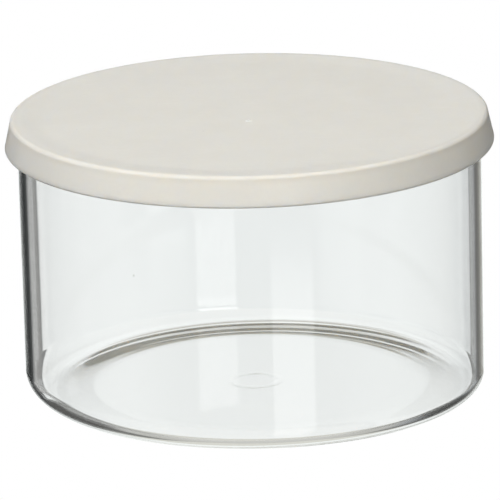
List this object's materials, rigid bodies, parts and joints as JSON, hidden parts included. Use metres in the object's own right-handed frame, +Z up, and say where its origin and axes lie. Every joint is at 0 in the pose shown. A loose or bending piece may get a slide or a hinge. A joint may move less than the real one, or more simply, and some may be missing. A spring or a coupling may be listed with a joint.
{
  "type": "glass storage container",
  "caption": "Round straight-sided clear glass food storage container with a rounded heel and a press-on plastic lid that lifts off upwards.",
  "frame": {"origin": "centre of the underside, in the plane of the foot ring that the glass stands on", "axes": "+Z up along the axis of revolution, towards the lid; +X to the right and -Y to the front are free choices, because the object is round"},
  "size_m": [0.1432, 0.1432, 0.0835],
  "materials": {
    "glass": "clear pressed soda-lime glass, fire-polished, faintly green at the edges",
    "lid_plastic": "smooth satin moulded polyethylene, warm off-white"
  },
  "bodies": {
    "container": {"glass_body": "glass"},
    "lid": {"lid": "lid_plastic"}
  },
  "joints": [
    {"name": "lid_lift", "type": "slide", "parent": "container", "child": "lid", "axis": [0, 0, 1], "range_m": [0, 0.12]}
  ]
}
